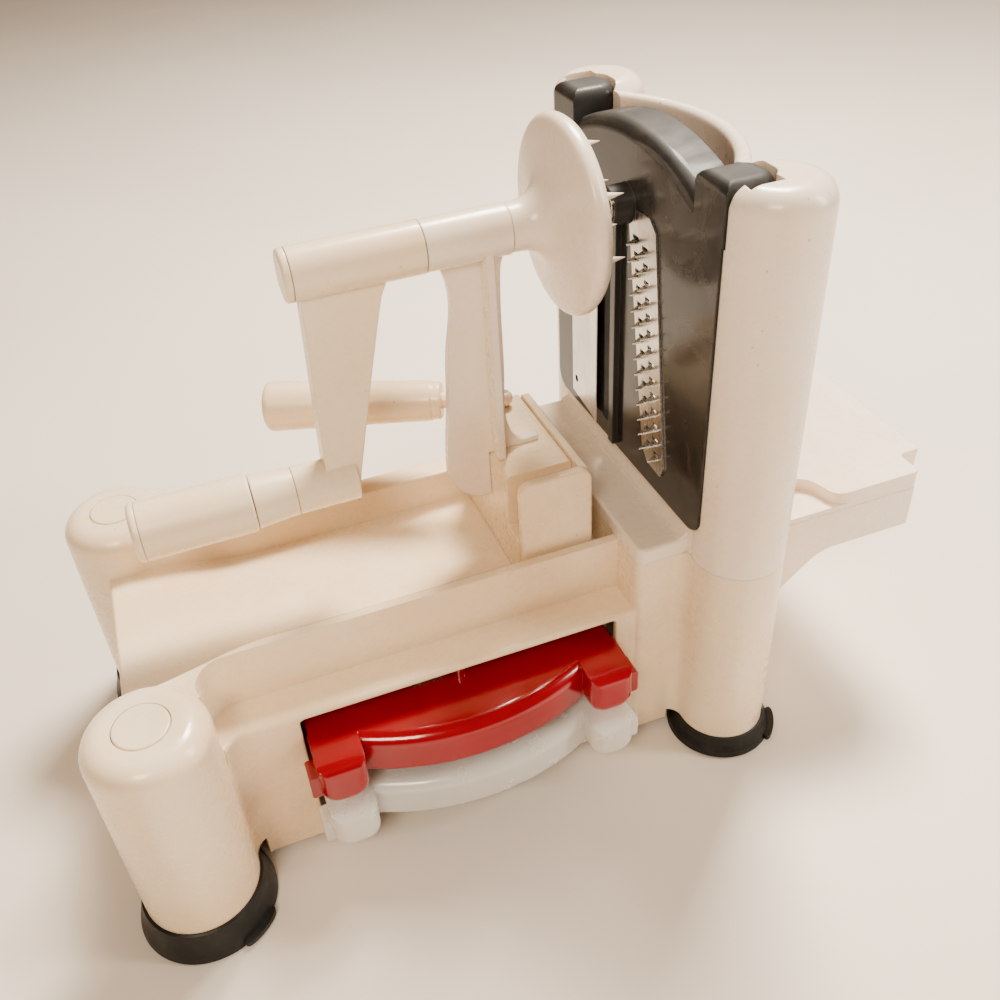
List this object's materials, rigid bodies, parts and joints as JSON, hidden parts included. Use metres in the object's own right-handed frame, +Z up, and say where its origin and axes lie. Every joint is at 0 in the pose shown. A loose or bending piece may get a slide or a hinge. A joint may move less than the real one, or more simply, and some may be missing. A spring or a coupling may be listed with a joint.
{
  "type": "spiralizer with crank",
  "caption": "Hand cranked vegetable spiralizer: sliding carriage with a pronged wheel, an upright blade holder, and two spare holders stored in the base.",
  "frame": {"origin": "middle of the bounding box at table level, under the feet", "axes": "+X along the tray from the crank grip towards the blade and rear deck, +Z up, -Y the side the stored holders pull out"},
  "size_m": [0.352, 0.181, 0.2585],
  "materials": {
    "ivory_plastic": "glossy moulded plastic, warm ivory",
    "white_plastic": "glossy moulded plastic, white",
    "charcoal_plastic": "satin to glossy charcoal plastic",
    "red_plastic": "glossy red plastic",
    "clear_plastic": "milky translucent plastic",
    "black_rubber": "soft black rubber",
    "blade_steel": "stainless blade steel",
    "zinc_steel": "plain steel",
    "bush_plastic": "plain bearing plastic"
  },
  "bodies": {
    "base": {"base_housing": "ivory_plastic", "leg_buttons": "ivory_plastic", "front_feet": "black_rubber", "rear_feet": "black_rubber", "rear_box": "white_plastic", "blade_frame": "white_plastic", "frame_screws": "zinc_steel", "storage_rails": "ivory_plastic"},
    "holder_in_use": {"blade_holder": "charcoal_plastic", "straight_blade": "blade_steel", "comb_blade": "blade_steel", "coring_ring": "blade_steel"},
    "red_unit": {"red_holder": "red_plastic", "red_straight_blade": "blade_steel", "red_comb_blade": "blade_steel", "red_coring_ring": "blade_steel"},
    "clear_unit": {"clear_holder": "clear_plastic", "clear_straight_blade": "blade_steel", "clear_coring_ring": "blade_steel"},
    "carriage": {"carriage_block": "ivory_plastic", "carriage_skirt": "ivory_plastic", "carriage_slide_plate": "ivory_plastic", "crank_post": "white_plastic", "crank_bushes": "bush_plastic", "post_screws": "zinc_steel", "handle_pivot_pin": "zinc_steel"},
    "crank": {"crank_arm": "ivory_plastic", "crank_end_cap": "ivory_plastic", "crank_shaft": "zinc_steel", "prong_wheel": "white_plastic", "grip_collar": "ivory_plastic", "grip_pin": "zinc_steel"},
    "grip": {"crank_grip": "ivory_plastic", "grip_cap": "ivory_plastic"},
    "side_handle": {"side_handle_stem": "ivory_plastic", "side_handle_grip": "ivory_plastic"}
  },
  "joints": [
    {"name": "carriage_slide", "type": "slide", "parent": "base", "child": "carriage", "axis": [1, 0, 0], "range_m": [-0.15, 0.007]},
    {"name": "crank_spin", "type": "hinge", "parent": "carriage", "child": "crank", "pos_m": [-0.03505, 0, 0.2229], "axis": [1, 0, 0], "continuous": true},
    {"name": "grip_spin", "type": "hinge", "parent": "crank", "child": "grip", "pos_m": [-0.11505, 0, 0.1367], "axis": [1, 0, 0], "continuous": true},
    {"name": "side_handle_swing", "type": "hinge", "parent": "carriage", "child": "side_handle", "pos_m": [0.01895, 0.0272, 0.1356], "axis": [0, 0, 1], "range_deg": [-66, 0]},
    {"name": "holder_lift", "type": "slide", "parent": "base", "child": "holder_in_use", "axis": [0, 0, 1], "range_m": [0, 0.15]},
    {"name": "red_holder_slide", "type": "slide", "parent": "base", "child": "red_unit", "axis": [0, -1, 0], "range_m": [0, 0.15]},
    {"name": "clear_holder_slide", "type": "slide", "parent": "base", "child": "clear_unit", "axis": [0, -1, 0], "range_m": [0, 0.15]}
  ]
}
